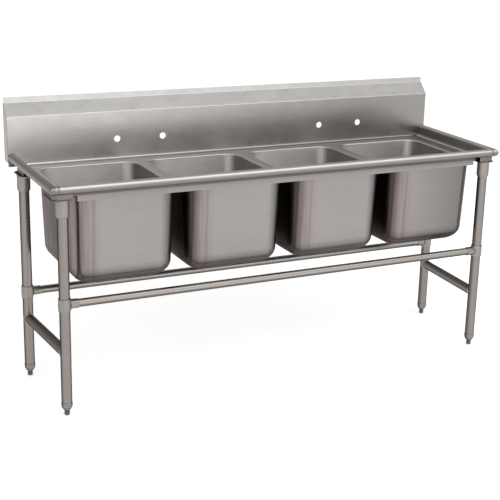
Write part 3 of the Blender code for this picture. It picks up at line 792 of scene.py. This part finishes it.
def make_drain(number):
    """Basket drain: flanged body with its threads, seal under the bowl, and locknut."""
    low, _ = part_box("drain_body_%d" % number)
    place = axis_of("drain_body_%d" % number)
    under_z = BOWL_FLOOR_Z - DRAIN_RECESS + GAP
    top_z, ledge_z = under_z + 0.0022, under_z + 0.0008
    cup_r = DRAIN_HOLE_R - 0.0012
    funnel_z = under_z - 0.030
    flange = list(arc((DRAIN_FLANGE_R - 0.0012, top_z - 0.0012), 0.0012, 0, 90, 4))
    body = [(DRAIN_FLANGE_R, under_z)] + flange + [
        (BASKET_LIP_R + 0.0010, top_z), (BASKET_LIP_R + 0.0006, top_z - 0.0004),
        (BASKET_LIP_R + 0.0004, ledge_z), (CUP_BORE_R, ledge_z), (CUP_BORE_R, funnel_z + 0.002),
        (CUP_BORE_R - 0.003, funnel_z), (OUTLET_BORE_R + 0.004, funnel_z - 0.002),
        (OUTLET_BORE_R, funnel_z - 0.005), (OUTLET_BORE_R, low.z), (OUTLET_R - 0.0008, low.z)]
    body += threaded(OUTLET_R, funnel_z - 0.008, low.z + 0.0005)[::-1]
    body += [(OUTLET_R, funnel_z - 0.0075), (OUTLET_R + 0.004, funnel_z - 0.006),
             (cup_r - 0.002, funnel_z - 0.003), (cup_r, funnel_z)]
    body += threaded(cup_r, under_z - 0.004, funnel_z + 0.001)[::-1] + [(cup_r, under_z)]
    piece("drain_body_%d_look" % number, move(turned(body, steps=64), place), DRAIN_STEEL,
          ["drain_body_%d" % number])

    low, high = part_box("drain_gasket_%d" % number)
    ring_r = cup_r + 2 * GAP
    outer = (high.x - low.x) / 2
    seal = rounded_outline([(outer, high.z), (outer, low.z), (ring_r, low.z), (ring_r, high.z)],
                           [0.001, 0.001, 0.0004, 0.0004])
    piece("drain_gasket_%d_look" % number, move(turned(seal, steps=64), place), GASKET_RUBBER,
          ["drain_gasket_%d" % number])

    nut_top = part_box("drain_locknut_%d" % number)[1].z
    nut = rounded_outline([(0.0580, nut_top), (0.0580, nut_top - 0.004), (0.0500, nut_top - 0.0045),
                           (0.0500, nut_top - 0.012), (ring_r, nut_top - 0.012), (ring_r, nut_top)],
                          [0.0005, 0.0005, 0.001, 0.0008, 0.0004, 0.0004])
    parts = [turned(nut, steps=64)]
    for quarter in range(4):
        lug = rounded_outline([(0.0495, -0.0048), (0.0568, -0.0038), (0.0568, 0.0038), (0.0495, 0.0048)],
                              [0.0002, 0.0012, 0.0012, 0.0002])
        block = upright(lug, nut_top - 0.0117, nut_top - 0.0036)
        block.transform(Matrix.Rotation(quarter * math.pi / 2 + math.pi / 20, 4, "Z"))
        parts.append(block)
    piece("drain_locknut_%d_look" % number, move(merge(*parts), place), ZINC,
          ["drain_locknut_%d" % number])


def make_basket(number):
    """Perforated cup with a rolled lip and a pull knob on its post."""
    low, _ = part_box("strainer_basket_%d" % number)
    place = axis_of("strainer_basket_%d" % number)
    floor_z, rest_z, wall = low.z, low.z + 0.026, 0.001
    lip = list(arc((BASKET_LIP_R - wall / 2, rest_z + wall / 2), wall / 2, -90, 90, 6))
    profile = [(0.0005, floor_z), (BASKET_R - 0.004, floor_z)]
    profile += arc((BASKET_R - 0.004, floor_z + 0.004), 0.004, -80, 0, 6)
    profile += [(BASKET_R, rest_z)] + lip + [(BASKET_R - wall, rest_z + wall)]
    profile += arc((BASKET_R - 0.004, floor_z + 0.004), 0.003, 0, -90, 6)
    profile += [(0.006, floor_z + wall), (0.0045, floor_z + wall + 0.0008), (0.0034, floor_z + 0.004),
                (0.0030, floor_z + 0.0175), (0.0040, floor_z + 0.0195)]
    profile += arc((0.0055, floor_z + 0.0235), 0.0035, -60, 60, 8)
    profile += arc((0.0, floor_z + 0.0145), 0.0135, 60, 85, 5)
    top = floor_z + 0.0276
    profile = [(r, min(z, top)) for r, z in profile]
    obj = piece("strainer_basket_%d_look" % number, move(turned(profile, False), place), DRAIN_STEEL,
                ["strainer_basket_%d" % number], body="basket_%d" % number)
    drills = []
    hole_r = 0.0022
    for radius, count in ((0.0130, 8), (0.0205, 13), (0.0280, 18)):
        for i in range(count):
            angle = TURN * i / count
            spot = (place[0] + radius * math.cos(angle), place[1] + radius * math.sin(angle), floor_z - 0.005)
            drills.append(move(turned([(hole_r, 0), (hole_r, 0.010)], False, 12), spot))
    cut(obj, merge(*drills))


# ---- legs and rails ------------------------------------------------------------------------
def leg_places():
    """Name, side (-1 left, 1 right) and place of each leg."""
    for name in LEG_NAMES:
        middle = centre_of("leg_" + name)
        yield name, (1 if middle.x > 0 else -1), middle.x, middle.y


def tube_section(radius, wall, length):
    """Closed (radius, z) section of a tube with eased ends."""
    inner = radius - wall
    ease = 0.0004
    return [(radius - ease, 0), (radius, ease), (radius, length - ease), (radius - ease, length),
            (inner, length), (inner, 0)]


def hex_screw(radius, length):
    """Headless set screw along +Z with a hexagonal recess in its outer end."""
    steps = 24

    def hexagon(across, z):
        points = []
        for i in range(steps):
            angle = TURN * i / steps
            fold = (angle % (math.pi / 3)) - math.pi / 6
            reach = across / 2 / math.cos(fold)
            points.append((reach * math.cos(angle), reach * math.sin(angle), z))
        return points

    rings = [circle(radius - 0.0006, 0, steps), circle(radius, 0.0006, steps)]
    rings += [circle(radius, length - 0.0004, steps), circle(radius - 0.0004, length, steps)]
    rings += [hexagon(0.0031, length), hexagon(0.0030, length - 0.0018)]
    return skin(rings)


def place_screw(node, side):
    low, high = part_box(node)
    middle = centre_of(node)
    start = (low.x if side > 0 else high.x, middle.y, middle.z)
    screw = aim(hex_screw(SCREW_R, high.x - low.x), start, (side, 0, 0))
    piece(node + "_look", screw, SCREW_STEEL, [node])


def skirt_outline(front, inner_x, side, low_y, high_y):
    """Upturned edge of a socket's plate, right under the rolled rim, round the front corner."""
    thick, tuck = 0.0025, 0.002
    outer_x = side * (TOP_HIGH.x - ROLL_R + tuck)
    thin_x = outer_x - side * thick
    if not front:
        return rounded_outline([(outer_x, low_y), (outer_x, high_y), (thin_x, high_y), (thin_x, low_y)],
                               [0.0005] * 4)
    face_y = TOP_LOW.y + ROLL_R - tuck
    turn_x, turn_y = outer_x - side * PLATE_BEVEL, face_y + PLATE_BEVEL
    ease = thick * math.tan(math.radians(22.5))
    return rounded_outline(
        [(inner_x, face_y), (turn_x, face_y), (outer_x, turn_y), (outer_x, high_y), (thin_x, high_y),
         (thin_x, turn_y + ease), (turn_x - side * ease, face_y + thick), (inner_x, face_y + thick)],
        [0.0005, 0.006, 0.006, 0.0005, 0.0005, 0.0035, 0.0035, 0.0005])


def make_leg_socket(name, side, x, y):
    """Plate under the deck with an upturned edge, and the sleeve that holds the leg."""
    node = "leg_socket_" + name
    low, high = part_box(node)
    bevel, plate_top = PLATE_BEVEL, PLATE_Z + PLATE_T
    inner_x, outer_x = (low.x, high.x) if side > 0 else (high.x, low.x)
    corners = [(inner_x, low.y), (outer_x - side * bevel, low.y), (outer_x, low.y + bevel),
               (outer_x, high.y - bevel), (outer_x - side * bevel, high.y), (inner_x, high.y)]
    outline = rounded_outline(corners, [0.002, 0.005, 0.005, 0.005, 0.005, 0.002])
    flat = upright(outline, PLATE_Z, plate_top)
    ease_edges(flat, 0.0005)
    strip = skirt_outline(name.startswith("front"), inner_x, side, low.y + bevel, high.y - bevel)
    skirt = upright(strip, plate_top - 0.001, high.z)
    bore = LEG_R + GAP
    sleeve = turned([
        (bore, low.z), (bore + 0.0012, low.z), (SOCKET_R - 0.0022, low.z + 0.0012),
        (SOCKET_R - 0.0004, low.z + 0.0085), (SOCKET_R, low.z + 0.011),
        (SOCKET_R, PLATE_Z + 0.0005), (bore, PLATE_Z + 0.0005)])
    weld = ring_bead(SOCKET_R + 0.0006, PLATE_Z - 0.0006, 0.0012, 34)
    piece(node + "_look", merge(flat, skirt, move(sleeve, (x, y, 0))), CAST_STEEL, [node])
    piece("socket_weld_" + name, move(weld, (x, y, 0)), WELD_METAL)
    place_screw("socket_screw_" + name, side)


def make_leg(name, x, y):
    node = "leg_" + name
    low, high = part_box(node)
    body = turned(tube_section(LEG_R, SHEET, high.z - low.z))
    piece(node + "_look", move(body, (x, y, low.z)), UPRIGHT_TUBE_STEEL, [node])


def make_rail_fitting(name, side, x, y):
    """Collar round the leg with a stub that holds the end of a long rail."""
    node = "rail_fitting_" + name
    low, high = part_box(node)
    z = (low.z + high.z) / 2
    bore = LEG_R + GAP
    half = (high.z - low.z) / 2
    collar = turned(rounded_outline(
        [(COLLAR_R, -half), (COLLAR_R, half), (bore, half), (bore, -half)],
        [0.0016, 0.0016, 0.0002, 0.0002]))
    reach = LEG_R + STUB_LENGTH
    start = COLLAR_R - 0.0022
    stub = turned(rounded_outline(
        [(STUB_R, start), (STUB_R, reach), (RAIL_R + GAP, reach), (RAIL_R + GAP, start)],
        [0.0002, 0.0012, 0.0003, 0.0002]))
    fillet = bead(saddle(COLLAR_R, STUB_R), 0.0024, 20, depth=0.02)
    aim(stub, (0, 0, 0), (-side, 0, 0))
    fillet.transform(Matrix.Rotation(math.pi if side > 0 else 0, 4, "Z"))
    piece(node + "_look", move(merge(collar, stub, fillet), (x, y, z)), CAST_STEEL, [node])
    place_screw("fitting_screw_" + name, side)


def saddle(post_r, tube_r):
    """The line where a tube along +X comes out of a post along Z."""
    steps = 96
    path = []
    for i in range(steps):
        angle = TURN * i / steps
        across, up = tube_r * math.cos(angle), tube_r * math.sin(angle)
        path.append(Vector((math.sqrt(max(post_r ** 2 - across ** 2, 0)), across, up)))
    return path


def make_side_rail(label):
    """Rail from the front leg to the rear one, coped and welded to both."""
    node = "side_rail_" + label
    low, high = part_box(node)
    z = (low.z + high.z) / 2
    front, rear = centre_of("leg_front_" + label), centre_of("leg_rear_" + label)
    front.z = rear.z = z
    along = (rear - front).normalized()
    radius = (high.z - low.z) / 2
    reach = (rear - front).length

    def ring(r, at_rear):
        """Points of a cope against the leg at one end of the rail, for a wall radius."""
        points = []
        for i in range(TUBE_STEPS):
            angle = TURN * i / TUBE_STEPS
            across, up = r * math.cos(angle), r * math.sin(angle)
            cope = math.sqrt(max((LEG_R + 2 * GAP) ** 2 - across ** 2, 0))
            points.append((across, up, reach - cope if at_rear else cope))
        return points

    inner = radius - SHEET
    body = skin([ring(radius, False), ring(radius, True), ring(inner, True), ring(inner, False)],
                closed=True)
    side_axis = along.cross(Vector((0, 0, 1)))
    frame_matrix = Matrix((side_axis, Vector((0, 0, 1)), along)).transposed().to_4x4()
    body.transform(Matrix.Translation(front) @ frame_matrix)
    piece(node + "_look", body, SIDE_TUBE_STEEL, [node])
    for end, direction, row in ((front, along, "front"), (rear, -along, "rear")):
        weld = bead(saddle(LEG_R + 0.0005, radius - 0.0002), 0.0022, 30)
        turn = Vector((1, 0, 0)).rotation_difference(direction).to_matrix().to_4x4()
        weld.transform(Matrix.Translation(end) @ turn)
        piece("side_rail_weld_%s_%s" % (row, label), weld, WELD_METAL)


def make_long_rail(row):
    node = row + "_rail"
    low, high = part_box(node)
    middle = centre_of(node)
    body = aim(turned(tube_section(RAIL_R, SHEET, high.x - low.x)), (low.x, middle.y, middle.z), (1, 0, 0))
    piece(node + "_look", body, LONG_TUBE_STEEL[row], [node])


def make_foot(name, x, y):
    """Rounded insert in the end of the leg, and the foot that screws into it."""
    node = "foot_insert_" + name
    low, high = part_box(node)
    leg_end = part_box("leg_" + name)[0].z - GAP
    bore = FOOT_R + GAP
    plug = LEG_R - SHEET - GAP
    widest = LEG_R + 0.0008
    nose = list(arc((widest - 0.014, low.z + 0.016), 0.014, -68, 0, 8))
    insert = [(bore, low.z), (0.0146, low.z), (0.0150, low.z + 0.0006)]
    insert += [(r, z) for r, z in nose if r > 0.0152 and z > low.z + 0.0008]
    insert += [(widest, leg_end - 0.0006), (widest - 0.0006, leg_end), (plug, leg_end),
               (plug, high.z), (bore, high.z)]
    piece(node + "_look", move(turned(insert), (x, y, 0)), UPRIGHT_TUBE_STEEL, [node])

    node = "foot_" + name
    low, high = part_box(node)
    body = [(0.0085, 0), (0.0096, 0.0006), (0.0102, 0.0022), (FOOT_R - 0.0002, 0.0045),
            (FOOT_R, 0.0065), (FOOT_R, 0.0110), (FOOT_R - 0.0016, 0.0125)]
    body += threaded(FOOT_R - 0.0004, high.z - 0.0006, 0.0135)[::-1] + [(FOOT_R - 0.0014, high.z)]
    piece(node + "_look", move(turned(body, False), (x, y, 0)), FOOT_STEEL, [node],
          body="adjuster_" + name)


# ---- camera, floor and light -----------------------------------------------------------------
def make_camera():
    data = bpy.data.cameras.new("camera")
    data.sensor_width = 36.0
    data.lens = 83.1
    data.shift_x, data.shift_y = -0.0672, -0.0162
    camera = bpy.data.objects.new("camera", data)
    yaw, pitch, roll = math.radians(27.67), math.radians(16.8), math.radians(1.87)
    ahead = Vector((math.sin(yaw) * math.cos(pitch), math.cos(yaw) * math.cos(pitch), -math.sin(pitch)))
    right = Vector((math.cos(yaw), -math.sin(yaw), 0))
    up = right.cross(ahead)
    across = right * math.cos(roll) + up * math.sin(roll)
    upward = up * math.cos(roll) - right * math.sin(roll)
    turn = Matrix((across, upward, -ahead)).transposed().to_4x4()
    camera.matrix_world = Matrix.Translation((-2.112, -4.260, 1.950)) @ turn
    bpy.context.scene.collection.objects.link(camera)
    bpy.context.scene.camera = camera


def make_floor():
    """Plain pale floor, just under the feet."""
    reach, floor_z = 40.0, -0.001
    bm = bmesh.new()
    bm.faces.new([bm.verts.new((sx * reach, sy * reach, floor_z))
                  for sx, sy in ((-1, -1), (1, -1), (1, 1), (-1, 1))])
    mesh = bpy.data.meshes.new("floor")
    bm.to_mesh(mesh)
    bm.free()
    material, _, shader = new_material("pale_floor")
    shader.inputs["Base Color"].default_value = (0.93, 0.93, 0.93, 1)
    shader.inputs["Roughness"].default_value = 0.85
    shader.inputs["Specular IOR Level"].default_value = 0.2
    shader.inputs["Emission Color"].default_value = (1, 1, 1, 1)
    shader.inputs["Emission Strength"].default_value = 0.54
    mesh.materials.append(material)
    floor = bpy.data.objects.new("floor", mesh)
    bpy.context.scene.collection.objects.link(floor)


def make_light():
    """Soft studio light: a pale surround, and three large soft lamps."""
    world = bpy.data.worlds.new("studio")
    world.use_nodes = True
    tree = world.node_tree
    back = tree.nodes["Background"]
    back.inputs["Color"].default_value = (1.0, 0.995, 0.985, 1)
    _, to_wall, upward = places(tree, "Generated")
    ahead = remap(tree, to_wall, 0.65, 0, -0.66, -0.42)
    above = remap(tree, upward, 0, 1, 0.10, 0.26)
    low = remap(tree, upward, 0.97, 0.5, 0.06, 0.20)
    tree.links.new(maths(tree, "MULTIPLY_ADD", ahead, above, low), back.inputs["Strength"])
    bpy.context.scene.world = world
    for name, place, target, size, power in (
            ("overhead", (1.0, -1.55, 3.0), (0.8, -0.2, 0.9), (4.8, 1.0), 24),
            ("front", (0.4, -3.2, 0.75), (0.2, 0, 0.75), (4.4, 1.1), 9),
            ("left_front", (-3.6, -2.2, 2.4), (0, 0, 0.8), (1.2, 1.6), 8)):
        data = bpy.data.lights.new(name, "AREA")
        data.shape = "RECTANGLE"
        data.size, data.size_y = size
        data.energy = power
        light = bpy.data.objects.new(name, data)
        light.location = place
        light.visible_camera = False
        light.rotation_mode = "QUATERNION"
        light.rotation_quaternion = (Vector(target) - Vector(place)).to_track_quat("-Z", "Y")
        bpy.context.scene.collection.objects.link(light)
    bpy.context.scene.view_settings.view_transform = "Standard"


make_camera()
make_sink_top()
make_front_channel()
make_backsplash()
make_end_caps()
for number in BOWL_NUMBERS:
    make_bowl(number)
    make_drain(number)
    make_basket(number)
for name, side, x, y in leg_places():
    make_leg_socket(name, side, x, y)
    make_leg(name, x, y)
    make_rail_fitting(name, side, x, y)
    make_foot(name, x, y)
for label in ("left", "right"):
    make_side_rail(label)
for row in ("front", "rear"):
    make_long_rail(row)
make_floor()
make_light()
